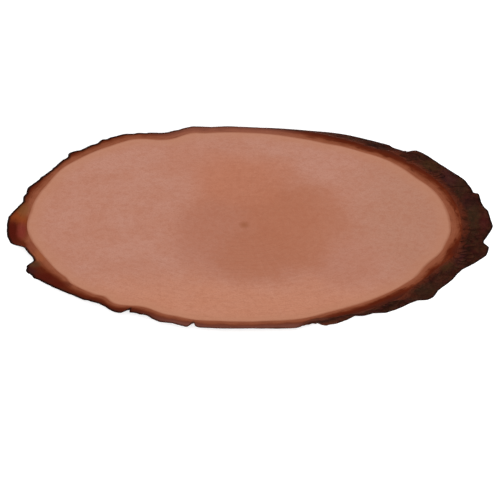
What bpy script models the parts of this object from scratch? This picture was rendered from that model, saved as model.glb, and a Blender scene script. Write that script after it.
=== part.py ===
"""An oval slice of an alder trunk, sawn aslant through the whole stem with its bark left on.

The trunk leans towards -X as it rises, and the two saw cuts are level, so each face is an oval a
good deal longer than it is wide. At the +X end the bark slopes out below the upper face, and at
the -X end it is undercut. The slice grew as one piece, so it is one solid.

Metres, +Z up. The origin is the centre of the bounding box, on the lower face.
"""

import math

import bmesh
import bpy
from mathutils import Vector, noise

# Driving dimensions
THICKNESS = 0.010  # between the two sawn faces
LEAN = 2.0  # how far the trunk runs along X for each unit that it rises
WOOD_RADIUS = 0.057  # of the trunk square across its grain, under the bark
STRETCH = math.hypot(LEAN, 1)  # a level cut is longer than the trunk is wide by this

# The bark in plates and steps: degrees round the trunk, anticlockwise from +X, and the bark's
# thickness there in millimetres
MM = 0.001
BARK = (
    # the broken plates of the +X end
    (-7, 2.9), (2, 4.9), (11, 4.9), (13, 4.3), (16, 4.3), (21, 5.0), (22, 3.7), (25, 4.6), (29, 5.1),
    (37, 4.8), (44, 5.4), (50, 6.0),
    # a step down to the smooth bark along the +Y side
    (51, 3.5), (56, 3.3), (57, 3.9), (72, 3.9), (80, 3.4), (97, 3.7), (102, 4.6),
    # a hollow, and the shoulder past it
    (105, 3.7), (109, 2.5), (112, 3.3), (115, 4.6), (119, 6.3), (126, 6.2), (128, 5.2), (131, 5.7),
    (134, 4.9), (137, 6.1),
    # thin bark towards the -X end
    (139, 4.9), (146, 3.6), (160, 4.1), (163, 3.3), (165, 3.6), (168, 2.9),
    # the round lobe of the -X end, and the gap beside it
    (172, 3.9), (177, 5.4), (188, 6.6), (192, 6.3), (193, 5.6), (195, 3.1), (201, 2.8),
    # the pointed plate past the gap
    (203, 3.2), (205, 6.3), (207, 7.7), (209, 8.2), (213, 7.9), (219, 6.8), (225, 5.7), (229, 5.7),
    # the -Y side, nicked by narrow cracks
    (232, 4.9), (235, 5.2), (238, 6.5), (240, 6.2), (241, 4.0), (242, 4.7), (246, 3.9), (251, 6.2),
    (254, 5.8), (258, 7.3), (259, 5.5), (261, 6.8), (270, 6.3), (281, 6.4), (285, 7.8), (286, 6.8),
    # rough plates round to the +X end
    (288, 5.9), (291, 4.7), (294, 2.8), (296, 3.8), (299, 3.5), (302, 5.1), (305, 4.9), (310, 3.9),
    (313, 3.8), (315, 5.3), (317, 5.3), (321, 3.8), (328, 3.0), (332, 2.4), (335, 2.4), (340, 4.0),
    (345, 5.3), (350, 4.7), (352, 3.0),
)

# Bark knocked off the lower edge: degrees round the trunk, degrees to each side, and depth in
# millimetres
CHIPS = ((282.5, 5, 3.0),)

# Ridges follow the trunk, and wander and swell a little along it
RIDGE_WIDTH = 0.007
RIDGE_LENGTH = 0.040
RIDGE_HEIGHT = 0.0004

# Mesh density: a column for each degree, and the levels between the two faces
SEGMENTS = 360
LEVELS = 5

# Name, colour and roughness
WOOD = ("alder_wood", (0.44, 0.20, 0.136), 0.62)
OUTER_BARK = ("alder_bark", (0.045, 0.021, 0.012), 0.9)


def clear_scene():
    for obj in list(bpy.data.objects):
        bpy.data.objects.remove(obj)


def material(name, colour, roughness):
    made = bpy.data.materials.new(name)
    made.use_nodes = True
    shader = made.node_tree.nodes["Principled BSDF"]
    shader.inputs["Base Color"].default_value = (*colour, 1)
    shader.inputs["Roughness"].default_value = roughness
    shader.inputs["Metallic"].default_value = 0
    return made


def bark_thickness(degrees):
    """The bark's thickness, running straight from each point of BARK to the next."""
    first = BARK[0][0]
    degrees = (degrees - first) % 360 + first
    points = BARK + ((first + 360, BARK[0][1]),)
    for (start, thin), (end, thick) in zip(points, points[1:]):
        if degrees <= end:
            share = (degrees - start) / (end - start)
            return (thin + share * (thick - thin)) * MM
    return BARK[0][1] * MM


def chipped_off(degrees, height):
    """How much of the bark is missing here, deepest at the lower edge and none at the upper one."""
    depth = 0
    for middle, half_width, deepest in CHIPS:
        away = abs((degrees - middle + 180) % 360 - 180)
        depth += deepest * MM * max(0, 1 - away / half_width)
    return depth * (1 - height / THICKNESS)


def ridge(angle, along):
    """How far a ridge stands out, at this angle round the trunk and this far along it."""
    around = WOOD_RADIUS / RIDGE_WIDTH
    place = (around * math.cos(angle), around * math.sin(angle), along / RIDGE_LENGTH)
    return RIDGE_HEIGHT * noise.noise(Vector(place))


def on_trunk(angle, radius, height):
    """The point at this height that lies this far out from the leaning trunk's own centre line."""
    x = LEAN * (THICKNESS - height) + STRETCH * radius * math.cos(angle)
    return Vector((x, radius * math.sin(angle), height))


def bark_point(angle, height):
    """The point of the bark's outside at this angle round the trunk and this height."""
    degrees = math.degrees(angle)
    radius = WOOD_RADIUS + bark_thickness(degrees) - chipped_off(degrees, height)
    level_with = on_trunk(angle, radius, height)
    along = (height - LEAN * level_with.x) / STRETCH
    return on_trunk(angle, radius + ridge(angle, along), height)


def centre(bm):
    """Move the origin to the middle of the bounding box, on the lower face."""
    xs = [vertex.co.x for vertex in bm.verts]
    ys = [vertex.co.y for vertex in bm.verts]
    middle = Vector((min(xs) + max(xs), min(ys) + max(ys), 0)) / 2
    bmesh.ops.translate(bm, verts=bm.verts, vec=-middle)


def slice_mesh():
    """An upright cylinder cut into levels, with each point then moved out to the leaning bark."""
    bm = bmesh.new()
    bmesh.ops.create_cone(
        bm,
        cap_ends=True,
        segments=SEGMENTS,
        radius1=WOOD_RADIUS,
        radius2=WOOD_RADIUS,
        depth=THICKNESS,
    )
    bmesh.ops.translate(bm, verts=bm.verts, vec=(0, 0, THICKNESS / 2))
    for level in range(1, LEVELS):
        everything = bm.verts[:] + bm.edges[:] + bm.faces[:]
        height = THICKNESS * level / LEVELS
        bmesh.ops.bisect_plane(bm, geom=everything, plane_co=(0, 0, height), plane_no=(0, 0, 1))
    for vertex in bm.verts:
        vertex.co = bark_point(math.atan2(vertex.co.y, vertex.co.x), vertex.co.z)
    for face in bm.faces:
        is_sawn = len(face.verts) == SEGMENTS
        face.material_index = 0 if is_sawn else 1
    centre(bm)
    mesh = bpy.data.meshes.new("wood_slice")
    bm.to_mesh(mesh)
    bm.free()
    return mesh


def make_slice(collection):
    mesh = slice_mesh()
    mesh.materials.append(material(*WOOD))
    mesh.materials.append(material(*OUTER_BARK))
    mesh.shade_smooth()
    mesh.set_sharp_from_angle(angle=math.radians(50))
    collection.objects.link(bpy.data.objects.new("wood_slice", mesh))


def main():
    clear_scene()
    collection = bpy.data.collections.new("wood_slice")
    bpy.context.scene.collection.children.link(collection)
    make_slice(collection)


main()
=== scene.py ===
# %% [markdown]
# # An oval slice of alder, sawn aslant with its bark on
#
# This notebook dresses a plain slice of trunk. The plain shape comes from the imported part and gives
# every size. Over it go two pieces: the sawn wood, pinkish and smooth, and the ring of bark, which
# is cut flat above and below and rough on its outside.

# %% Load the plain slice
import math

import bpy
import numpy as np
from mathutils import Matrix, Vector, noise
from mathutils.bvhtree import BVHTree


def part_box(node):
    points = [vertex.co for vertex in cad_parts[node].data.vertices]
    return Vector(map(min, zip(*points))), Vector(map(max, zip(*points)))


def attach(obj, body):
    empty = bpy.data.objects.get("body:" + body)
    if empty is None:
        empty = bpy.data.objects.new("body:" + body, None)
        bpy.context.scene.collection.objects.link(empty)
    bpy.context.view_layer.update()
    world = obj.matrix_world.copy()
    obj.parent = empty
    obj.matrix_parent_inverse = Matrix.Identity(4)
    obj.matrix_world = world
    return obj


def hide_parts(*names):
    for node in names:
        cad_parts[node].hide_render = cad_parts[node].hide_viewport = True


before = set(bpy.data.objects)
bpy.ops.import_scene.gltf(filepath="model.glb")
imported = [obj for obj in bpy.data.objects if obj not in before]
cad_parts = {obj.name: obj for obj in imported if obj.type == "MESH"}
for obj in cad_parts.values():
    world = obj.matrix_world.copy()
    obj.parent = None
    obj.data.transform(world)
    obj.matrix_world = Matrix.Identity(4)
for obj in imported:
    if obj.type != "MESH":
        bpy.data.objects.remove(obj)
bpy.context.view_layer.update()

low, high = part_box("wood_slice")
THICKNESS = high.z - low.z
print("plain slice, mm:", [round(1000 * side, 1) for side in high - low])

# %% [markdown]
# ## The leaning trunk
#
# The saw went through the trunk at a steep slant, so the faces are ovals although the trunk was
# round. Everything that grew in the tree is round about the trunk's own centre line: growth rings,
# the heart, the bark's thickness, the cracks that run up the bark. It would be hard to draw all of
# that as ovals. It is easier to give each point two addresses, one in the slice as it lies and one
# in the trunk: an angle round it, a distance out from its centre line, and a distance along it.
# The two helpers below turn one into the other, for whole arrays of points at once.

# %% Addresses in the trunk
MM = 0.001
LEAN = 2.0  # the trunk runs this far towards -X for each unit that it rises
STRETCH = math.hypot(LEAN, 1)  # a level cut through it is longer than it is wide by this
CENTRE = (-8.7 * MM, 1.4 * MM)  # where its centre line comes out of the upper face


def in_slice(angle, out, height):
    """The place in the slice of points this far out from the centre line, at these heights."""
    x = CENTRE[0] + LEAN * (THICKNESS - height) + STRETCH * out * np.cos(angle)
    return np.stack([x, CENTRE[1] + out * np.sin(angle), height + 0 * x], axis=-1)


def in_trunk(places):
    """The same points in the trunk: two sides square to its centre line, then the way along it."""
    x, y, height = np.moveaxis(places, -1, 0)
    side = (x - CENTRE[0] - LEAN * (THICKNESS - height)) / STRETCH
    return np.stack([side, y - CENTRE[1], (height - LEAN * x) / STRETCH], axis=-1)


round_trip = in_trunk(in_slice(np.array([0.5]), np.array([0.06]), np.array([0.0])))
print("a point 60 mm out comes back at, mm:", 1000 * np.hypot(*round_trip[0, :2]))

# %% [markdown]
# ## The bark's outline
#
# The outline has a lobe and a pointed plate at one end, a step along one side and dips along the
# other. All of that is already in the plain slice, so it isn't drawn again here: rays go out from
# the trunk's centre line, like a finger feeling for the edge, and note how far the bark reaches.
# Six levels are enough, because the plain slice has as many.

# %% Feel for the bark's outside
COLUMNS = 1536  # points round the rim, 0.45 mm apart on average
LEVELS = (0.002, 0.2, 0.4, 0.6, 0.8, 0.998)  # of the thickness, a hair inside the sawn faces

angles = np.arange(COLUMNS) * math.tau / COLUMNS
levels = THICKNESS * np.array(LEVELS)

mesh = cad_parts["wood_slice"].data
surface = BVHTree.FromPolygons(
    [vertex.co for vertex in mesh.vertices], [face.vertices for face in mesh.polygons]
)


def reach(angle, height):
    """How far the plain bark stands from the centre line, at this angle and height."""
    start = Vector(in_slice(0, 0, height))
    way = Vector((STRETCH * math.cos(angle), math.sin(angle), 0))
    touched = surface.ray_cast(start, way)[0]
    return (touched - start).length / way.length


felt = np.array([[reach(angle, height) for angle in angles] for height in levels])
print("bark reaches out, mm:", (1000 * felt.min()).round(1), "to", (1000 * felt.max()).round(1))

# %% [markdown]
# A running average takes the corners off the plain slice's straight facets. It is short where skin
# and sawn face meet in a thin, crisp edge. Where they meet bluntly the edge is worn, so narrow
# notches are filled in first and the average is longer.

# %% Wear down the blunt edges
CRISP_CORNER = 1  # columns to each side in the running average, at a thin edge
WORN_CORNER = 9  # and at a blunt one
WORN_NOTCH = 27  # half the width, in columns, of the widest notch that a blunt edge loses


def turned(values, columns):
    """The values, turned round the trunk by each step up to this many columns either way."""
    return np.array([np.roll(values, step, axis=-1) for step in range(-columns, columns + 1)])


def rounded_off(values, columns):
    """A running average round the rim, over this many columns to each side."""
    return np.mean(turned(values, columns), axis=0)


def filled_in(values, columns):
    """The same outline without the notches that are narrower than twice this many columns."""
    return turned(turned(values, columns).max(axis=0), columns).min(axis=0)


upward = 2 * levels[:, None] / THICKNESS - 1  # 1 at the upper face, -1 at the lower one
blunt = np.clip(1.5 * upward * np.cos(angles), 0, 1)  # 1 where the edge is well over square
worn = rounded_off(filled_in(felt, WORN_NOTCH), WORN_CORNER)
crisp = rounded_off(felt, CRISP_CORNER)
print("wear moves the outline by up to, mm:", (1000 * np.abs(blunt * (worn - crisp)).max()).round(2))
felt = crisp * (1 - blunt) + worn * blunt

# %% [markdown]
# ## Where the wood ends
#
# Under the bark the wood is rounder than the outline, but it isn't a true circle: it dips where
# the bark is hollow and swells behind the thick plates. A few points give its radius round the
# trunk, and a smooth curve through them does the rest. The curve is a cosine blend from each point
# to the next, so it never bulges past a point, which a cubic might.

# %% The rim of the wood
WOOD_RIM = (  # degrees round the trunk, radius in millimetres
    (0, 58.6), (22, 58.6), (33, 57.8), (43, 58.2), (58, 57.0), (66, 56.4), (90, 56.9), (99, 57.0),
    (102, 57.6), (110, 55.3), (120, 59.2), (128, 58.9), (142, 58.5), (158, 57.0), (172, 56.9),
    (184, 57.5), (202, 56.7), (215, 57.3), (220, 58.5), (228, 58.4), (231, 57.6), (236, 59.2),
    (244, 56.8), (252, 58.5), (260, 59.3), (266, 58.9), (276, 59.0), (286, 59.4), (300, 58.0),
    (328, 57.5), (336, 56.8), (348, 57.9),
)


def cosine_curve(points, degrees):
    """A smooth closed curve through the points, read at these degrees."""
    closed = np.array([*points, (points[0][0] + 360, points[0][1])], float)
    step = np.searchsorted(closed[:, 0], degrees % 360, side="right") - 1
    start, end = closed[step], closed[step + 1]
    share = (degrees % 360 - start[:, 0]) / (end[:, 0] - start[:, 0])
    return start[:, 1] + (end[:, 1] - start[:, 1]) * (1 - np.cos(math.pi * share)) / 2


wood_rim = MM * cosine_curve(WOOD_RIM, np.degrees(angles))
print("thinnest bark, mm:", (1000 * (felt.min(axis=0) - wood_rim).min()).round(2))

# %% [markdown]
# ## Noise on a trunk
#
# Bark and wood need many kinds of roughness. All of them are read in the trunk's address, so that
# they run along the stem, close up neatly behind it, and pass straight through the slice from the
# upper face to the lower one. Each kind is stretched along the trunk by its own amount.

# %% Noise helpers
SMOOTHNESS = 0.9  # how quickly the finer layers of noise die away
FINER = 2.1  # each layer is finer than the last by this
BENDS = 1.6  # in a crack, for each plate that it passes


def field(places, across, along, layers=3, seed=0.0):
    """Soft noise between about -1 and 1, with lumps this wide and this long, in metres."""
    trunk = in_trunk(places) / (across, across, along) + seed
    flat = [noise.fractal(Vector(spot), SMOOTHNESS, FINER, layers) for spot in trunk.reshape(-1, 3)]
    return np.array(flat).reshape(places.shape[:-1])


def plates(places, across, along, wander, seed=0.0):
    """0 in the cracks between plates of bark, rising to 1 at the middle of each plate."""
    spots = in_trunk(places) / (across, across, along) + seed
    flat = []
    for spot in spots.reshape(-1, 3):
        moved = Vector(spot) + wander * noise.noise_vector(Vector(spot) * BENDS)
        nearest, second = noise.voronoi(moved)[0][:2]
        flat.append(second - nearest)
    return np.array(flat).reshape(places.shape[:-1])


def eased(values, start, end):
    """0 below start, 1 above end, and a smooth rise between them."""
    share = np.clip((values - start) / (end - start), 0, 1)
    return share * share * (3 - 2 * share)


# %% [markdown]
# ## The bark ring
#
# A real slice keeps its bark as a thin ring, sawn flat above and below. Its outside is dry cork,
# split into long plates by cracks that follow the trunk. The saw leaves a crumbled edge.
#
# The ring could be a plain band with the roughness painted on, but the rim is what is seen from
# every side, and painted cracks don't break an outline. So the band is a fine net of points, and
# each point is moved: cracks go inwards, and nothing goes outwards, so the ring stays inside the
# plain slice. The net is one closed loop of stations: across the upper cut, down the outside, back
# across the lower cut, and up the hidden side against the wood.

# %% Stations round the bark's section
CUT_STEPS = 10  # from the wood out to the edge, on each sawn face
SKIN_STEPS = 45  # down the outside, closest together at the two edges

down = (1 - np.cos(math.pi * np.linspace(0, 1, SKIN_STEPS))) / 2
skin_heights = THICKNESS * (1 - down)[:, None] + 0 * angles
skin_out = np.array(
    [np.interp(skin_heights[:, column], levels, felt[:, column]) for column in range(COLUMNS)]
).T
skin_places = in_slice(angles, skin_out, skin_heights)
print("points on the outside:", skin_out.size)

# %% [markdown]
# Alder bark of this age is more lumpy than split. Soft swellings run up the trunk, shallow cracks
# wander between them, and the cork itself is granular. The smooth +Y side has less than half the
# relief of the rest, as the outline already shows, and towards both saw cuts it fades away.
#
# The depths add up, but thin bark can't hold deep cracks. So the sum is bent over smoothly before
# it reaches half of the bark's own thickness, which leaves shallow relief as it is.

# %% Lumps, cracks and grain of the cork
CRACK = 1.0 * MM
LUMP = 0.9 * MM
GRAIN = 0.22 * MM
CALM_EDGE = 3.5 * MM  # the relief fades over this much skin towards the two sawn faces
EDGE_SHARE = 0.05  # of the relief, left right at a sawn face
DEEPEST = 0.45  # of the bark's thickness, which the relief comes near but never reaches

skin_slope = np.hypot(1, LEAN * np.cos(angles))  # length of skin for each unit of height
below_top = (THICKNESS - skin_heights) * skin_slope
above_bottom = skin_heights * skin_slope

between = plates(skin_places, 8 * MM, 22 * MM, 0.9)
open_here = eased(field(skin_places, 16 * MM, 30 * MM, layers=1, seed=15.1), -0.5, 0.2)
lump = field(skin_places, 5 * MM, 8 * MM, layers=2, seed=11.7)
knobbly = field(skin_places, 2.0 * MM, 2.2 * MM, layers=2, seed=7.3)
grain = field(skin_places, 1.1 * MM, 1.1 * MM, layers=1, seed=3.1)

crack_walls = 1 - open_here * (1 - eased(between, 0.0, 0.16))
swollen = eased(lump + 0.6 * knobbly, -0.9, 0.6)
smooth_side = eased(np.sin(angles), 0.55, 0.95)
away = eased(np.minimum(below_top, above_bottom), 0, CALM_EDGE)
roughness = (1 - 0.6 * smooth_side) * (EDGE_SHARE + (1 - EDGE_SHARE) * away)

sunk = CRACK * (1 - crack_walls) + LUMP * (1 - swollen) + GRAIN * (0.5 - 0.5 * grain)
deepest = DEEPEST * (skin_out - wood_rim)
sunk = deepest * np.tanh(roughness * np.clip(sunk, 0, None) / deepest)
print("the skin is cut back, mm:", (1000 * sunk.mean()).round(2), "on average")

# %% [markdown]
# A crack goes square into the bark. The bark leans, so what sinks in also moves down at the +X end
# and up at the undercut one. It would be simpler to move every point level, but where the bark
# leans most that draws small lumps out into long blades. Only right at a saw cut do points move
# level, because the edge has to stay in the plane of the cut.

# %% Relief goes square into the bark
FREE = 0.02 * MM  # sunken skin stays this far from the planes of the saw

square_in = skin_heights - LEAN / STRETCH * np.cos(angles) * away * sunk
square_in = np.clip(square_in, FREE * away, THICKNESS - FREE * away)
moved = np.abs(square_in - skin_heights).max()
print("sunken skin moves up or down by up to, mm:", (1000 * moved).round(2))

# %% [markdown]
# Cracks follow the trunk, but a flake that is knocked off the rim goes straight down, from one saw
# cut to the other. A few such nicks, each at its own place along X, break the two long sides.

# %% Nicks
NICKS = (  # which side, place along X, half width and depth, in millimetres
    ("-Y", -76.2, 2.6, 1.7),
    ("-Y", -35.6, 2.6, 1.6),
    ("-Y", 39.0, 9.0, 1.2),
    ("+Y", 96.8, 2.4, 0.9),
)

FLAT_SHARE = 0.2  # of a nick's width, at its bottom

nicked = np.zeros_like(skin_out)
for side, middle, half_width, depth in NICKS:
    here = 1 - eased(np.abs(skin_places[..., 0] / MM - middle), FLAT_SHARE * half_width, half_width)
    on_side = np.sin(angles) * (1 if side == "+Y" else -1) > 0
    nicked += on_side * here * depth * MM
print("nicks:", len(NICKS), "up to", (1000 * nicked.max()).round(2), "mm deep")

# %% [markdown]
# The saw and the sander rub the cork a little, so the edge isn't sharp. It is rounded over for a few
# tenths of a millimetre down the skin, more where it crumbled. A quarter ellipse gives how far the
# skin draws back at each depth below the edge: a quarter circle, and then a share of it.

# %% Crumbled edges
CRUMBLED = 0.40 * MM  # down the skin
UNEVENLY = 0.30 * MM  # more or less than that
DRAWN_SHARE = 0.3  # how far the edge draws back, for each unit down the skin


def edge_round(depth, radius):
    """How far a rounded edge draws back, at this depth below it."""
    share = np.clip(1 - depth / radius, 0, 1)
    return radius * (1 - np.sqrt(1 - share * share))


upper_edge = in_slice(angles, skin_out[0], THICKNESS)
edge_noise = field(upper_edge, 3 * MM, 3 * MM, seed=5.5)
crumbled = CRUMBLED + UNEVENLY * np.clip(edge_noise, -0.8, 1)
drawn_back = DRAWN_SHARE * (edge_round(below_top, crumbled) + edge_round(above_bottom, crumbled))
print("crumbled edge, mm:", (1000 * crumbled.min()).round(2), "to", (1000 * crumbled.max()).round(2))

# %% [markdown]
# Round the -X end the upper edge is a feather of cork, and a feather chips. Small bites, a few
# millimetres apart, come out of the top of the skin to each side of the round lobe. The lobe itself
# is tougher and stays whole.

# %% Bites in the feather edge
BITE = 0.4 * MM
BITE_REACH = (0.5 * MM, 2.5 * MM)  # down the skin: where a bite starts to get shallower, and ends

bites = eased(field(upper_edge, 3.2 * MM, 6 * MM, layers=1, seed=8.8), -0.2, 0.5)
beside_lobe = eased(np.abs(np.sin(angles)), 0.25, 0.45) * eased(-np.cos(angles), 0.1, 0.5)
bitten = BITE * bites * beside_lobe * (1 - eased(below_top, *BITE_REACH))
skin_radius = skin_out - sunk - nicked - bitten - drawn_back
print("bites, mm:", (1000 * bitten.max()).round(2), "deep at most")

# %% [markdown]
# The sawn faces of the bark aren't as clean as the wood, because cork and inner bark are soft and
# stringy. They lie a hair lower than the wood and are slightly furred.

# %% The sawn faces of the bark
LOWER = 0.09 * MM  # than the wood, at the edge
FURRY = 0.07 * MM  # higher or lower than that, in tufts

across = 1 - np.linspace(1, 0, CUT_STEPS)[:-1, None] ** 1.5  # closer together towards the edge


def sawn_bark(edge_radius, height, inward):
    """Radius and height of the stations from the wood out to the edge, on one sawn face."""
    radius = wood_rim + across * (edge_radius - wood_rim)
    level = np.full_like(radius, height)
    furred = field(in_slice(angles, radius, level), 1.5 * MM, 1.5 * MM, seed=2.2)
    sunk_by = across**0.5 * (LOWER + FURRY * furred)
    return radius, level + inward * np.clip(sunk_by, 0, None)


upper_radius, upper_height = sawn_bark(skin_radius[0], THICKNESS, -1)
lower_radius, lower_height = sawn_bark(skin_radius[-1], 0.0, 1)
widest = (upper_radius[-1] - wood_rim).max()
print("sawn bark, mm:", (1000 * widest).round(1), "wide at most, square to the trunk")

# %% [markdown]
# ## From nets of points to meshes
#
# Both pieces are nets: rows of points round the trunk, joined row to row by four-sided faces. The
# first helper says which row and column each corner of each face has, and the second makes the
# mesh. Each point keeps some numbers, such as its address in the trunk, which the finishes read.
# The map that lays the surface out flat is made here too, because only the net knows its rows.

# %% Net helpers
def net_corners(rows, columns):
    """Row and column of the four corners of each face of a net that is closed round the trunk."""
    row, column = (grid.ravel() for grid in np.mgrid[0 : rows - 1, 0:columns])
    corner_rows = np.stack([row, row + 1, row + 1, row], axis=-1)
    corner_columns = np.stack([column, column, column + 1, column + 1], axis=-1)
    return corner_rows, corner_columns


def make_piece(name, points, faces, flat_map, kept):
    """A smooth mesh object, with a flat map for its corners and numbers kept at its points."""
    made = bpy.data.meshes.new(name)
    made.from_pydata(points.tolist(), [], [tuple(map(int, face)) for face in faces])
    made.uv_layers.new(name="OFBake").uv.foreach_set("vector", flat_map.astype(np.float32).ravel())
    for label, values in kept.items():
        is_vector = values.shape[-1] == 3
        layer = made.attributes.new(label, "FLOAT_VECTOR" if is_vector else "FLOAT", "POINT")
        layer.data.foreach_set("vector" if is_vector else "value", values.ravel())
    made.shade_smooth()
    piece = bpy.data.objects.new(name, made)
    bpy.context.scene.collection.objects.link(piece)
    print(name, "has", len(made.polygons), "faces")
    return piece


# %% [markdown]
# ## What the bark's finish has to know
#
# Next to the wood the inner bark is amber, then red, then brown. How soon it turns is different all
# the way round, so a short table gives the width of the amber band. The thin, feathery edges, where
# the skin and the sawn face meet sharply, are lined with painted shade, while the blunt edges are
# rubbed back to red.

# %% The amber band
AMBER_BAND = (  # degrees round the trunk, width in millimetres
    (0, 2.9), (17, 2.2), (30, 2.4), (42, 1.6), (50, 1.7), (66, 2.3), (90, 2.7), (120, 2.7), (150, 1.9),
    (168, 2.4), (180, 3.0), (194, 2.2), (202, 3.0), (212, 2.2), (240, 1.6), (268, 2.3), (300, 1.7),
    (315, 1.3), (327, 2.6), (334, 1.8), (341, 3.3), (347, 1.5),
)

# %% [markdown]
# The ring's net has its stations as rows. Each point is told whether it is on a saw cut, how high
# it stands between the cracks, how far it is from the wood and from the saw's edge, and whether
# that edge is thin or blunt. Lengths are in millimetres.

# %% What each point of the bark knows
ring_out = np.concatenate([upper_radius, skin_radius, lower_radius[::-1]])
ring_heights = np.concatenate([upper_height, square_in, lower_height[::-1]])
ring_places = in_slice(angles, ring_out, ring_heights)
STATIONS = len(ring_out)
SKIN = slice(CUT_STEPS - 1, CUT_STEPS - 1 + SKIN_STEPS)

on_cut = np.ones((STATIONS, COLUMNS))
on_cut[SKIN] = 0
plate_top = np.ones((STATIONS, COLUMNS))
plate_top[SKIN] = (0.4 + 0.6 * crack_walls) * (0.35 + 0.65 * swollen)
from_wood = (ring_out - wood_rim) / MM

on_upper = np.arange(STATIONS)[:, None] < STATIONS / 2
edge_out = np.where(on_upper, skin_radius[0], skin_radius[-1])
spread = STRETCH / np.hypot(STRETCH * np.sin(angles), np.cos(angles))  # of a step outwards
to_edge = spread * (edge_out - ring_out) / MM
to_edge[SKIN] = np.minimum(below_top, above_bottom) / MM
thin_edge = np.cos(angles) * np.where(on_upper, -1, 1)  # 1 for a feather, -1 for a blunt edge
amber_band = np.tile(cosine_curve(AMBER_BAND, np.degrees(angles)), STATIONS)
print("stations round the bark's section:", STATIONS)

# %% [markdown]
# The ring closes on itself both ways: the last column meets the first, and the row after the last is
# the first again, which makes the hidden side. For the flat map, the ring is cut into four strips
# of a quarter turn, laid one above another, because one strip seven hundred millimetres long and
# about thirty wide would waste nearly all of a square.

# %% The bark ring
STRIPS = 4
MARGIN = 0.03  # of a strip's height, kept free above and below it
END_MARGIN = 0.004  # of its length, at each end
HIDDEN_SHARE = 0.1  # of its true width is room enough for the hidden side

corner_rows, corner_columns = net_corners(STATIONS + 1, COLUMNS)
bark_faces = corner_rows % STATIONS * COLUMNS + corner_columns % COLUMNS

section = np.linalg.norm(np.diff(ring_places, axis=0, append=ring_places[:1]), axis=-1).mean(axis=1)
section[-1] *= HIDDEN_SHARE
way_round = np.concatenate([[0], np.cumsum(section)]) / section.sum()
strip = corner_columns[:, :1] * STRIPS // COLUMNS
along_strip = corner_columns * STRIPS / COLUMNS - strip
up_strip = MARGIN + (1 - 2 * MARGIN) * way_round[corner_rows]
along_strip = END_MARGIN + (1 - 2 * END_MARGIN) * along_strip
flat_map = np.stack([along_strip, (strip + up_strip) / STRIPS], axis=-1)

bark = make_piece(
    "bark_ring",
    ring_places.reshape(-1, 3),
    bark_faces,
    flat_map,
    {
        "trunk": in_trunk(ring_places).reshape(-1, 3) / MM,
        "on_cut": on_cut.reshape(-1, 1),
        "plate_top": plate_top.reshape(-1, 1),
        "from_wood": from_wood.reshape(-1, 1),
        "amber": amber_band[:, None],
        "place": ring_places.reshape(-1, 3) / MM,
        "to_edge": to_edge.reshape(-1, 1),
        "thin_edge": thin_edge.reshape(-1, 1),
    },
)
bark.data.set_sharp_from_angle(angle=math.radians(60))

# %% [markdown]
# ## The sawn wood
#
# The wood is a plain oval board that fills the ring: both faces were sanded flat, so its interest
# is in its colour, and its net can be coarse. Its rim has the same points as the inside of the bark,
# so no gap opens between them. Fifteen hundred columns would crowd together at the middle, so each
# row inwards has half as many as the row outside it, joined by threes of triangles.

# %% Rows of the wood
WOOD_SHARES = (1.0, 0.985, 0.96, 0.91, 0.8, 0.6, 0.3)  # of the wood's radius
WOOD_ROWS = [(share, COLUMNS // 2**row) for row, share in enumerate(WOOD_SHARES)]


def sawn_face(height):
    """Places of one sawn face of the wood, from the rim inwards to the middle."""
    rows = []
    for share, count in WOOD_ROWS:
        every = slice(None, None, COLUMNS // count)
        rows.append(in_slice(angles[every], share * wood_rim[every], np.full(count, height)))
    rows.append(in_slice(np.zeros(1), np.zeros(1), np.full(1, height)))
    return np.concatenate(rows)


def depth_under_rim():
    """How far each point of a sawn face lies inside the rim, in millimetres."""
    rows = [(1 - share) * wood_rim[:: COLUMNS // count] / MM for share, count in WOOD_ROWS]
    return np.concatenate([*rows, wood_rim[:1] / MM])


def halving_faces(first):
    """Triangles that join each row to the next, which has half as many points, from index first."""
    faces = []
    for _, count in WOOD_ROWS[:-1]:
        inner = first + count
        for place in range(0, count, 2):
            a, b, c = (first + (place + step) % count for step in range(3))
            d = inner + place // 2
            e = inner + (place // 2 + 1) % (count // 2)
            faces += [(a, b, d), (b, e, d), (b, c, e)]
        first = inner
    last = WOOD_ROWS[-1][1]
    faces += [(first + place, first + (place + 1) % last, first + last) for place in range(last)]
    return faces


upper_wood = sawn_face(THICKNESS)
lower_wood = sawn_face(0.0)
wood_places = np.concatenate([upper_wood, lower_wood])
upper_faces = halving_faces(0)
lower_faces = [face[::-1] for face in halving_faces(len(upper_wood))]
print("wood:", len(wood_places), "points")

# %% [markdown]
# A low wall joins the two faces all round. It is hidden behind the bark, but without it the board
# would be two loose sheets. In the flat map each face lies as it is seen from above, one over the
# other, and the wall is a narrow strip under them.

# %% The wood as a mesh
UPPER_ROOM, LOWER_ROOM, SIDE_ROOM = (0.515, 0.48), (0.025, 0.48), (0.002, 0.018)  # start, height
FACE_MARGIN = 0.003  # at each end of a face

rim = np.arange(COLUMNS)
next_on_rim = (rim + 1) % COLUMNS
below = len(upper_wood)
side_faces = np.stack([rim, below + rim, below + next_on_rim, next_on_rim], axis=-1)

wood_low = wood_places.min(axis=0)
wood_size = np.ptp(wood_places, axis=0)
laid = (wood_places[:, :2] - wood_low[:2]) / wood_size[:2]


def lay_flat(faces, room):
    """Map corners for faces seen straight on, in a band of the map: its start and its height."""
    corners = laid[np.array(faces).ravel()]
    map_across = FACE_MARGIN + (1 - 2 * FACE_MARGIN) * corners[:, 0]
    return np.stack([map_across, room[0] + room[1] * corners[:, 1]], axis=-1)


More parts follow.
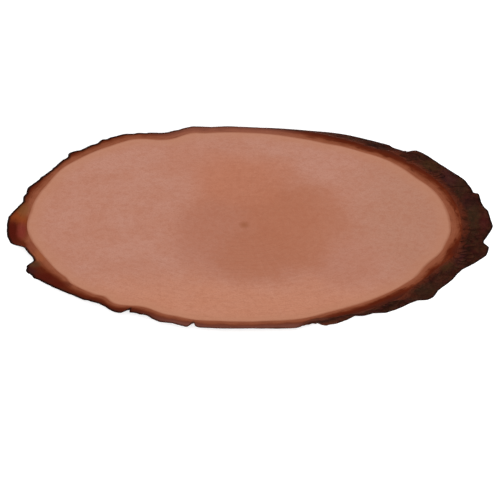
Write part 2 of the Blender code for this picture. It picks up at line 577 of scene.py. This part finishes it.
side_across = np.stack([rim, rim, rim + 1, rim + 1], axis=-1) / COLUMNS
side_up = np.broadcast_to([1, 0, 0, 1], side_across.shape)
side_map = np.stack([side_across, SIDE_ROOM[0] + SIDE_ROOM[1] * side_up], axis=-1)
wood_map = np.concatenate(
    [lay_flat(upper_faces, UPPER_ROOM), lay_flat(lower_faces, LOWER_ROOM), side_map.reshape(-1, 2)]
)
wood = make_piece(
    "sawn_wood",
    wood_places,
    [*upper_faces, *lower_faces, *side_faces],
    wood_map,
    {"trunk": in_trunk(wood_places) / MM, "under_rim": np.tile(depth_under_rim(), 2)[:, None]},
)
wood.data.set_sharp_from_angle(angle=math.radians(40))

# %% [markdown]
# ## Mixing a finish
#
# A finish is a small network of nodes that works out colour, roughness and relief at each point.
# Written out in full, each node takes five or six lines, and the recipe gets lost. So each helper
# adds one kind of node and gives back its output, and a finish reads like its recipe.

# %% Finish helpers
def new_finish(name, **settings):
    """A material with one shader, whose even settings go straight on its sockets."""
    finish = bpy.data.materials.new(name)
    finish.use_nodes = True
    shader = finish.node_tree.nodes["Principled BSDF"]
    for label, value in settings.items():
        shader.inputs[label.replace("_", " ")].default_value = value
    return finish


def add(finish, kind, *inputs, **settings):
    """Adds a node. Each input is a number, a colour, another node's output, or None."""
    node = finish.node_tree.nodes.new("ShaderNode" + kind)
    for label, value in settings.items():
        setattr(node, label, value)
    for socket, value in zip(node.inputs, inputs):
        if isinstance(value, bpy.types.NodeSocket):
            finish.node_tree.links.new(value, socket)
        elif value is not None:
            socket.default_value = value
    return node


def kept_number(finish, label):
    return add(finish, "Attribute", attribute_name=label).outputs["Fac"]


def kept_place(finish, label):
    return add(finish, "Attribute", attribute_name=label).outputs["Vector"]


def calc(finish, operation, *inputs):
    return add(finish, "Math", *inputs, operation=operation).outputs[0]


def times(finish, first, second):
    return calc(finish, "MULTIPLY", first, second)


def rise(finish, value, start, end):
    """0 where value is below start, 1 above end, and a smooth rise between them."""
    node = add(finish, "MapRange", value, interpolation_type="SMOOTHSTEP")
    node.inputs["From Min"].default_value = start
    node.inputs["From Max"].default_value = end
    return node.outputs[0]


def stretched(finish, place, sizes):
    """The place counted in lumps of these sizes, in millimetres."""
    counts = [1 / size for size in sizes]
    return add(finish, "VectorMath", place, counts, operation="MULTIPLY").outputs[0]


def lumps(finish, place, sizes, detail=3, roughness=0.55, offset=0.0):
    """Soft noise from 0 to 1, with lumps of these three sizes in millimetres."""
    spot = add(finish, "VectorMath", stretched(finish, place, sizes), [offset] * 3, operation="ADD")
    node = add(finish, "TexNoise", spot.outputs[0])
    node.inputs["Scale"].default_value = 1
    node.inputs["Detail"].default_value = detail
    node.inputs["Roughness"].default_value = roughness
    return node.outputs[0]


def colour(red, green, blue):
    """A colour as linear light, from the three numbers a painter would pick it by, 0 to 255."""
    bright = [part / 255 for part in (red, green, blue)]
    return [((part + 0.055) / 1.055) ** 2.4 if part > 0.04045 else part / 12.92 for part in bright] + [1]


def tint(finish, share, first, second):
    """Blends from the first colour to the second by share."""
    node = add(finish, "Mix", data_type="RGBA")
    for index, value in ((0, share), (6, first), (7, second)):
        if isinstance(value, bpy.types.NodeSocket):
            finish.node_tree.links.new(value, node.inputs[index])
        else:
            node.inputs[index].default_value = value
    return node.outputs[2]


def colours_along(finish, value, stops):
    """A colour that runs through the stops as value goes from 0 to 1."""
    node = add(finish, "ValToRGB", value)
    marks = node.color_ramp.elements
    while len(marks) < len(stops):
        marks.new(0.5)
    for mark, (place, tone) in zip(marks, stops):
        mark.position = place
        mark.color = tone
    return node.outputs[0]


def finish_off(finish, tone, dullness, *bumps):
    """Joins colour, roughness and reliefs to the shader. A bump is a height and its depth in metres."""
    nodes, links = finish.node_tree.nodes, finish.node_tree.links
    shader = nodes["Principled BSDF"]
    links.new(tone, shader.inputs["Base Color"])
    links.new(dullness, shader.inputs["Roughness"])
    normal = None
    for height, depth in bumps:
        node = add(finish, "Bump")
        node.inputs["Distance"].default_value = depth
        links.new(height, node.inputs["Height"])
        if normal:
            links.new(normal, node.inputs["Normal"])
        normal = node.outputs[0]
    links.new(normal, shader.inputs["Normal"])


# %% [markdown]
# ## The wood's colour
#
# Fresh alder is white, but it turns to a pinkish tan once cut. The middle of an older stem is a
# little redder, in an uneven patch that follows no ring. Growth rings barely show, since alder's
# pores are the same size all year. Sanding leaves it dull.
#
# A flat tan would look like card. The recipe starts from a few tans, builds the red heart from soft
# ovals that overlap, and then lays the rings, rays and pores over them, each so faint that none
# shows by itself. All of it is read in the trunk's address, so the rings come out as ovals. The
# rings are round the pith, which isn't quite in the middle, but the last one follows the rim: so
# the pith's offset fades out towards the rim.

# %% Wood: address and rings
PITH = (2.1, 0.3)  # the tree's own middle, in millimetres from the centre line
WOOD_RADIUS = 57  # millimetres
YEAR = 2.3  # millimetres from one ring to the next
WAVERS = 2.5  # how far a ring strays, in millimetres
GOOD_YEARS = 3.0  # how far good and bad years shift the rings, in millimetres
GOOD_YEARS_EVERY = 6  # millimetres

alder = new_finish("sawn_alder", Specular_IOR_Level=0.15)

address = kept_place(alder, "trunk")
across_trunk = add(alder, "VectorMath", address, (1, 1, 0), operation="MULTIPLY").outputs[0]
out = add(alder, "VectorMath", across_trunk, operation="LENGTH").outputs["Value"]
offset_left = rise(alder, out, WOOD_RADIUS, 0)
pith_here = add(alder, "VectorMath", (*PITH, 0), operation="SCALE")
alder.node_tree.links.new(offset_left, pith_here.inputs["Scale"])
from_pith = add(alder, "VectorMath", across_trunk, pith_here.outputs[0], operation="SUBTRACT")
from_pith = from_pith.outputs[0]
from_pith_mm = add(alder, "VectorMath", from_pith, operation="LENGTH").outputs["Value"]
wobble = lumps(alder, address, (14, 14, 60), detail=2)
uneven = add(alder, "TexNoise", noise_dimensions="1D")
alder.node_tree.links.new(calc(alder, "DIVIDE", from_pith_mm, GOOD_YEARS_EVERY), uneven.inputs["W"])
ring_place = calc(alder, "ADD", from_pith_mm, times(alder, wobble, WAVERS))
ring_place = calc(alder, "ADD", ring_place, times(alder, uneven.outputs[0], GOOD_YEARS))
year = calc(alder, "FRACT", calc(alder, "DIVIDE", ring_place, YEAR))
late_wood = times(alder, rise(alder, year, 0.35, 0.93), rise(alder, year, 1.0, 0.95))

# %% [markdown]
# The heart, the pith and the sunnier and greyer sides are all patches: soft ovals whose edges are
# pushed in and out by noise. Rays are read from the direction away from the pith, so each one is
# a thin spoke, and noise breaks it into dashes. Pores run along the trunk and are cut across by
# the saw, so they are long in the trunk and short on the face.

# %% Wood: heart, rays and pores
RAYS = 42  # the higher, the finer the spokes


def oval_patch(finish, place, middle, half_sizes, ragged, edge):
    """1 inside an oval, 0 outside, with a ragged edge. Sizes are in millimetres."""
    away = add(finish, "VectorMath", place, (*middle, 0), operation="SUBTRACT").outputs[0]
    counts = [1 / side for side in half_sizes] + [0]
    scaled = add(finish, "VectorMath", away, counts, operation="MULTIPLY").outputs[0]
    distance = add(finish, "VectorMath", scaled, operation="LENGTH").outputs["Value"]
    return rise(finish, calc(finish, "ADD", distance, ragged), 1 + edge, 1 - edge)


ragged = calc(alder, "SUBTRACT", lumps(alder, address, (10, 16, 70), detail=4, offset=4.4), 0.5)
wavy = calc(alder, "SUBTRACT", lumps(alder, address, (16, 24, 90), detail=2, offset=7.7), 0.5)
sunny = oval_patch(alder, address, (5, -51), (52, 17), ragged, 0.7)
greyer = oval_patch(alder, address, (50, 8), (16, 42), ragged, 0.7)
middle_spot = oval_patch(alder, address, PITH, (1.1, 1.6), ragged, 0.95)
clouds = lumps(alder, address, (11, 11, 40), detail=5, roughness=0.6, offset=9.1)

toward = add(alder, "VectorMath", from_pith, operation="NORMALIZE").outputs[0]
fan = add(alder, "TexNoise", toward)
fan.inputs["Scale"].default_value = RAYS
fan.inputs["Detail"].default_value = 3
broken = lumps(alder, address, (3, 3, 30), detail=2, offset=1.7)
rays = times(alder, rise(alder, fan.outputs[0], 0.55, 0.75), broken)
pores = lumps(alder, address, (0.45, 0.45, 5), detail=2, roughness=0.7, offset=2.9)
flecks = lumps(alder, address, (1.8, 1.8, 20), detail=3, roughness=0.6, offset=6.3)
heart_here = oval_patch(alder, address, (7, 2), (21, 33), wavy, 0.4)
mottled = lumps(alder, address, (1.4, 3.0, 24), detail=3, roughness=0.65, offset=11.9)
mottled_heart = times(alder, heart_here, rise(alder, mottled, 0.42, 0.6))

# %% [markdown]
# Now the colours, laid over one another like thin washes. First come the tans, which drift from one
# to another across the slice, and over them the heart.

# %% Wood: the tans and the heart
TAN = colour(174, 123, 105)
ROSY_TAN = colour(171, 117, 97)
SUNNY_TAN = colour(182, 121, 93)
GREYER_TAN = colour(164, 116, 95)
HEART = (  # middle and half sizes in the trunk in millimetres, colour, strength
    ((-9.0, 38.0), (12, 12), colour(171, 114, 93), 0.6),
    ((30.0, -22.0), (9, 13), colour(167, 112, 92), 0.7),
    ((2.0, 22.0), (15.0, 20), colour(171, 109, 84), 0.8),
    ((5.5, -2.0), (20.5, 27), colour(163, 105, 82), 0.8),
    ((18.0, 4.0), (11.5, 24), colour(164, 105, 80), 0.75),
    ((-7.0, -7.0), (9.5, 20), colour(162, 106, 86), 0.5),
    ((5.5, -17.0), (10.0, 15), colour(160, 100, 75), 0.7),
    ((12.0, 5.0), (9.0, 16), colour(161, 99, 73), 0.5),
    ((1.0, 24.0), (9.5, 11), colour(172, 109, 83), 0.5),
)

tone = tint(alder, rise(alder, clouds, 0.35, 0.65), TAN, ROSY_TAN)
tone = tint(alder, times(alder, sunny, 0.7), tone, SUNNY_TAN)
tone = tint(alder, times(alder, greyer, 0.7), tone, GREYER_TAN)
for middle, half_sizes, red, strength in HEART:
    patch = oval_patch(alder, address, middle, half_sizes, wavy, 0.4)
    tone = tint(alder, times(alder, patch, strength), tone, red)
print("patches in the heart:", len(HEART))

# %% [markdown]
# Over the tans go the small things: rings, rays, pores, flecks and the pith. Towards the bark the
# wood turns a little more orange, and in its last millimetre the bark has stained it amber. The
# dullness follows the same clouds as the tans, because denser wood sands a little smoother.

# %% Wood: rings, rays, pores, pith and rim
LATE_WOOD = colour(130, 78, 56)
PALE_RAY = colour(190, 140, 118)
PORE_BROWN = colour(140, 86, 64)
DEEP_RED = colour(152, 87, 62)
PITH_BROWN = colour(137, 78, 48)
SAPWOOD = colour(168, 114, 88)
AMBER = colour(140, 82, 56)

tone = tint(alder, times(alder, late_wood, 0.03), tone, LATE_WOOD)
tone = tint(alder, times(alder, rays, 0.2), tone, PALE_RAY)
tone = tint(alder, times(alder, rise(alder, pores, 0.42, 0.72), 0.32), tone, PORE_BROWN)
tone = tint(alder, times(alder, rise(alder, flecks, 0.42, 0.66), 0.2), tone, DEEP_RED)
tone = tint(alder, times(alder, mottled_heart, 0.18), tone, DEEP_RED)
tone = tint(alder, times(alder, middle_spot, 0.7), tone, PITH_BROWN)
under_rim_mm = calc(alder, "MULTIPLY_ADD", ragged, 1.5, kept_number(alder, "under_rim"))
tone = tint(alder, times(alder, rise(alder, under_rim_mm, 6, 0.5), 0.6), tone, SAPWOOD)
tone = tint(alder, times(alder, rise(alder, under_rim_mm, 0.9, -0.3), 0.9), tone, AMBER)
dull = calc(alder, "ADD", 0.6, times(alder, clouds, 0.16))
finish_off(alder, tone, dull, (pores, 0.00006), (late_wood, 0.00004))
wood.data.materials.append(alder)
print("wood finish:", len(alder.node_tree.nodes), "nodes")

# %% [markdown]
# ## The bark's colours
#
# The sawn bark is inner bark, amber next to the wood and redder outwards, under a dark skin of cork.
# Outside, the cork is nearly black-brown, with maroon patches where a flake has come off, and a
# thin olive film of algae in places.
#
# Both faces of the ring share one finish. The number kept as on_cut chooses between the recipe for
# the sawn face, which goes by the distance out from the wood, and the recipe for the outside, which
# goes by how high a spot stands between the cracks.

# %% Bark: the sawn face
BARK_LAYERS = (  # 0 at the wood, 1 at three amber bands out from it
    (0.00, colour(139, 80, 57)),
    (0.19, colour(128, 69, 46)),
    (0.35, colour(102, 45, 24)),
    (0.46, colour(86, 30, 13)),
    (0.75, colour(74, 29, 17)),
    (1.00, colour(64, 28, 20)),
)


def layers(finish, place, depth, sizes, offset=0.0):
    """Noise from 0 to 1 in thin layers that follow the rim: their thickness and two lengths, in mm."""
    side, up, _ = add(finish, "SeparateXYZ", place).outputs
    spot = add(finish, "CombineXYZ", depth, side, up).outputs[0]
    return lumps(finish, spot, sizes, detail=4, roughness=0.6, offset=offset)


cork = new_finish("alder_bark", Specular_IOR_Level=0.03)
address = kept_place(cork, "trunk")
from_wood_mm = kept_number(cork, "from_wood")
drift = calc(cork, "SUBTRACT", lumps(cork, address, (4, 4, 30), detail=4, offset=3.3), 0.5)
thin_layers = layers(cork, address, from_wood_mm, (0.45, 5, 5), offset=8.8)
layer_place = calc(cork, "DIVIDE", from_wood_mm, kept_number(cork, "amber"))
layer_place = calc(cork, "ADD", drift, layer_place)
layer_place = calc(cork, "MULTIPLY_ADD", thin_layers, 0.5, calc(cork, "SUBTRACT", layer_place, 0.25))
inner_bark = colours_along(cork, calc(cork, "DIVIDE", layer_place, 3), BARK_LAYERS)
print("layers of inner bark:", len(BARK_LAYERS))

# %% [markdown]
# The broad bark of the -X end has colours of its own: an orange spot on the lobe, red beside it, a
# golden neck between the lobe and the pointed plate, and an olive root where that plate parts from
# it. Each is an oval patch, placed by its address in the trunk, so it runs through to the underside.

# %% Bark: patches of the -X end
LOBE_AND_PLATE = (  # middle and half sizes in the trunk in millimetres, colour, strength
    ((-57.8, -3.0), (0.9, 6.0), colour(100, 42, 20), 0.8),
    ((-60.0, 1.8), (2.6, 4.2), colour(128, 60, 26), 0.9),
    ((-58.6, 7.5), (1.6, 4.0), colour(116, 72, 38), 0.6),
    ((-61.2, -5.0), (1.9, 6.5), colour(74, 19, 9), 0.95),
    ((-58.9, -5.5), (1.3, 4.5), colour(116, 44, 35), 0.85),
    ((-56.0, -15.5), (1.6, 3.0), colour(128, 66, 48), 0.6),
    ((-53.6, -20.5), (2.2, 3.6), colour(146, 82, 52), 0.7),
    ((-55.9, -25.6), (1.9, 2.2), colour(76, 50, 32), 0.8),
    ((-57.5, -29.6), (2.3, 2.6), colour(56, 24, 23), 0.8),
    ((-52.6, -33.8), (3.2, 2.6), colour(76, 19, 9), 0.8),
    ((-48.6, -37.8), (3.4, 1.8), colour(76, 19, 9), 0.7),
)

patchy = calc(cork, "SUBTRACT", lumps(cork, address, (2.5, 3.5, 30), detail=3, offset=14.2), 0.5)
for middle, half_sizes, tone, strength in LOBE_AND_PLATE:
    patch = oval_patch(cork, address, middle, half_sizes, patchy, 0.55)
    inner_bark = tint(cork, times(cork, patch, strength), inner_bark, tone)
print("patches of the -X end:", len(LOBE_AND_PLATE))

# %% [markdown]
# Along the two long sides the sawn bark is dry and dusty. Towards the +X end its red layers are
# scorched by the saw, in broken streaks. And everywhere a few of the thin layers are darker.

# %% Bark: dry sides, scorched and dark layers
DRY_AMBER = colour(141, 90, 76)
DRY_BARK = colour(115, 70, 59)
SCORCHED = colour(82, 26, 8)
DARK_LAYER = colour(60, 22, 13)

thin = kept_number(cork, "thin_edge")
side, up, _ = add(cork, "SeparateXYZ", address).outputs
dry_side = calc(cork, "MAXIMUM", rise(cork, up, 0, -20), rise(cork, side, 22, 6))
dry_side = times(cork, dry_side, rise(cork, calc(cork, "ABSOLUTE", thin), 0.5, 0.2))
dry_amber = times(cork, times(cork, dry_side, 0.35), rise(cork, up, -60, 0))
inner_bark = tint(cork, dry_amber, inner_bark, DRY_AMBER)
dry_outer = times(cork, dry_side, rise(cork, layer_place, 0.5, 1.8))
inner_bark = tint(cork, times(cork, dry_outer, 0.8), inner_bark, DRY_BARK)
scorched = rise(cork, layers(cork, address, from_wood_mm, (1.3, 4, 4), offset=31.2), 0.44, 0.60)
scorched = times(cork, scorched, rise(cork, layer_place, 0.5, 0.9))
scorched = times(cork, scorched, rise(cork, layer_place, 2.2, 1.5))
scorched = times(cork, scorched, rise(cork, side, 10, 35))
inner_bark = tint(cork, times(cork, scorched, 0.8), inner_bark, SCORCHED)
layered = times(cork, rise(cork, thin_layers, 0.5, 0.8), 0.4)
inner_bark = tint(cork, layered, inner_bark, DARK_LAYER)

# %% [markdown]
# The outside is two browns in small blotches, with the maroon and the olive over them. The bark of
# the +X end lies open to the sky, so it has stains of its own. They are broken up by the same
# fine speckle that gives the cork its grain.

# %% Bark: the outside
PLATE_BROWN = colour(60, 28, 17)
DARK_BROWN = colour(42, 19, 12)
MAROON = colour(60, 21, 18)
OLIVE = colour(60, 38, 21)

STAINS = (  # on the bark of the +X end: middle and half sizes along X and Y in mm, colour, strength
    ((136.4, 10.0), (4.0, 8.0), colour(54, 40, 24), 0.55),
    ((143.7, 5.8), (3.0, 5.0), colour(72, 22, 22), 0.55),
    ((127.0, -14.6), (4.5, 5.0), colour(72, 34, 33), 0.5),
    ((117.8, -20.3), (6.0, 3.2), colour(76, 50, 24), 0.55),
    ((121.3, 32.4), (6.0, 4.5), colour(64, 28, 29), 0.6),
    ((109.0, 40.1), (6.0, 2.8), colour(66, 44, 22), 0.55),
    ((128.7, 27.6), (3.5, 4.5), colour(50, 34, 22), 0.5),
    ((133.7, 19.1), (5.0, 4.0), colour(62, 24, 24), 0.5),
    ((107.1, -36.4), (8.0, 4.0), colour(54, 37, 23), 0.5),
)

plate_height = kept_number(cork, "plate_top")
mottle = lumps(cork, address, (3.2, 3.2, 4.4), detail=6, roughness=0.7, offset=5.9)
flaked = lumps(cork, address, (3.6, 3.6, 5), detail=5, roughness=0.65, offset=12.4)
flaked = rise(cork, flaked, 0.48, 0.60)
algae = lumps(cork, address, (3.4, 3.4, 5), detail=6, roughness=0.7, offset=17.8)
algae = rise(cork, algae, 0.50, 0.62)
speckle = lumps(cork, address, (0.8, 0.8, 0.8), detail=4, roughness=0.7, offset=21.5)
outside = tint(cork, rise(cork, mottle, 0.38, 0.62), DARK_BROWN, PLATE_BROWN)
outside = tint(cork, times(cork, flaked, 0.65), outside, MAROON)
outside = tint(cork, times(cork, algae, 0.55), outside, OLIVE)

place = kept_place(cork, "place")
speckled = calc(cork, "ADD", 0.35, rise(cork, speckle, 0.35, 0.6))
for middle, half_sizes, stain, strength in STAINS:
    patch = oval_patch(cork, place, middle, half_sizes, patchy, 0.6)
    share = times(cork, times(cork, patch, speckled), strength)
    outside = tint(cork, share, outside, stain)
print("stains:", len(STAINS))

# %% [markdown]
# The blunt edges are rubbed red for a few millimetres, in an uneven band, and the long -Y side is dry
# and dusty. Every hollow is darkened with painted shade, and the tops of the plates get a painted
# highlight.

# %% Bark: rubbed edges, dust, painted shade in hollows and painted highlight on plate tops
# a near-black for the cork's dark specks and for painted shade in the hollows
DARK_SPECK_AND_SHADE = colour(22, 10, 7)
RUBBED_RED = colour(90, 38, 22)
DRY_DUST = colour(112, 60, 43)
# a painted highlight for the tops of the plates
PLATE_HIGHLIGHT = colour(84, 50, 37)

to_edge_mm = kept_number(cork, "to_edge")
blotchy = lumps(cork, address, (3, 3, 4.5), detail=4, roughness=0.65, offset=27.4)
blotchy = calc(cork, "SUBTRACT", blotchy, 0.5)
worn_by = calc(cork, "MULTIPLY_ADD", blotchy, 11.0, to_edge_mm)
rubbed = times(cork, rise(cork, worn_by, 7.0, 0.3), rise(cork, thin, 0.75, -0.75))
outside = tint(cork, times(cork, rubbed, 0.9), outside, RUBBED_RED)
dusted = times(cork, dry_side, rise(cork, to_edge_mm, 6.0, 1.0))
dusted = times(cork, dusted, rise(cork, up, -20, -45))
outside = tint(cork, times(cork, dusted, 0.6), outside, DRY_DUST)
# painted highlight: the plate tops are lightened by how high they stand
painted_top_highlight = times(cork, rise(cork, plate_height, 0.6, 1.0), rise(cork, speckle, 0.6, 0.35))
outside = tint(cork, times(cork, painted_top_highlight, 0.3), outside, PLATE_HIGHLIGHT)
specks = times(cork, rise(cork, speckle, 0.48, 0.7), 0.5)
outside = tint(cork, specks, outside, DARK_SPECK_AND_SHADE)
# painted shade: the hollows are darkened by how deep they lie
hollow_shade = times(cork, rise(cork, plate_height, 0.55, 0.1), 0.65)
outside = tint(cork, hollow_shade, outside, DARK_SPECK_AND_SHADE)

# %% [markdown]
# Both recipes meet at the saw's edge. Where the edge is thin it is lined with painted shade, on the
# sawn face and on the outside alike, so it is laid over the two of them. The cork's grain is too fine
# for the net, so the finish adds it as a small relief. The furrows between the layers are only on the
# saw cut: on the outside they would follow the lumps like lines on a map.

# %% Bark: both recipes and the painted shade on the thin edges
# painted shade: a near-black line along the thin edges
EDGE_SHADE = colour(24, 10, 7)

# painted shade on the thin edges, on the sawn face and the outside alike
edge_shade_reach = add(cork, "MapRange", thin, 0, 1, 0.9, 2.0).outputs[0]
edge_shade = rise(cork, calc(cork, "DIVIDE", to_edge_mm, edge_shade_reach), 1.0, 0.25)
edge_shade = times(cork, edge_shade, rise(cork, thin, -0.8, 0.95))

sawn = rise(cork, kept_number(cork, "on_cut"), 0.25, 0.75)
tone = tint(cork, sawn, outside, inner_bark)
tone = tint(cork, times(cork, edge_shade, 0.92), tone, EDGE_SHADE)
dull = calc(cork, "ADD", 0.78, times(cork, mottle, 0.2))
furrows = times(cork, thin_layers, sawn)
finish_off(cork, tone, dull, (speckle, 0.0005), (furrows, 0.00015))
bark.data.materials.append(cork)
print("bark finish:", len(cork.node_tree.nodes), "nodes")

# %% [markdown]
# ## Joining the frame
#
# The two pieces stand for the one plain solid, which stays behind for weight and collision. Neither
# moves, because the slice is a single piece of a tree.

# %% Ride and replace
for piece, slot in ((wood, "wood"), (bark, "bark")):
    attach(piece, "root")
    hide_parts("wood_slice")

# %% [markdown]
# ## The table, the light and the camera
#
# The slice lies on a white table, as small things are shown for sale. The table glows a little, so
# that it stays white right up to the slice. It is a hair lower than the slice, because two faces
# at one height would flicker.

# %% The table
TABLE_SIDE = 6.0
TABLE_HEIGHT = -0.2 * MM
WHITE = (0.93, 0.93, 0.93, 1)
GLOW = 0.35

bpy.ops.mesh.primitive_plane_add(size=TABLE_SIDE, location=(0, 0, TABLE_HEIGHT))
table = bpy.context.object
table.name = "white_table"
white = new_finish(
    "white_table",
    Base_Color=WHITE,
    Roughness=0.8,
    Specular_IOR_Level=0.1,
    Emission_Color=(1, 1, 1, 1),
    Emission_Strength=GLOW,
)
table.data.materials.append(white)
print("table:", TABLE_SIDE, "m wide")

# %% [markdown]
# A tent of soft light does most of the work, from every side. One broad lamp stands off to a side,
# so that cracks in the bark have a light and a dark flank, and it is so broad that no shadow has
# an edge.

# %% The light
TENT_STRENGTH = 0.95
LAMP_WIDTH = 2.0
LAMP_WATTS = 16
LAMP_PLACE = (-0.5, 0.7, 1.9)

scene = bpy.context.scene
scene.view_settings.view_transform = "Standard"
sky = bpy.data.worlds.new("light_tent")
scene.world = sky
sky.use_nodes = True
sky.node_tree.nodes["Background"].inputs["Color"].default_value = (1, 1, 1, 1)
sky.node_tree.nodes["Background"].inputs["Strength"].default_value = TENT_STRENGTH

lamp_data = bpy.data.lights.new("broad_lamp", "AREA")
lamp_data.shape = "DISK"
lamp_data.size = LAMP_WIDTH
lamp_data.energy = LAMP_WATTS
lamp = bpy.data.objects.new("broad_lamp", lamp_data)
scene.collection.objects.link(lamp)
lamp.location = LAMP_PLACE
lamp.rotation_euler = (-lamp.location).to_track_quat("-Z", "Y").to_euler()
print("lamp:", LAMP_WATTS, "W,", LAMP_WIDTH, "m wide")

# %% [markdown]
# The camera looks straight down from a metre up through a long lens, so that both ends are seen
# alike. It is turned a little, because the slice doesn't lie quite square to it.

# %% The camera
LENS = 120
SENSOR = 36
CAMERA_PLACE = (-0.4 * MM, -13.6 * MM, 1.03)
CAMERA_TURN = 0.9  # degrees

camera_data = bpy.data.cameras.new("camera")
camera_data.lens = LENS
camera_data.sensor_width = SENSOR
camera = bpy.data.objects.new("camera", camera_data)
scene.collection.objects.link(camera)
scene.camera = camera
camera.location = CAMERA_PLACE
camera.rotation_euler = (0, 0, math.radians(CAMERA_TURN))
print("camera:", CAMERA_PLACE[2], "m up")
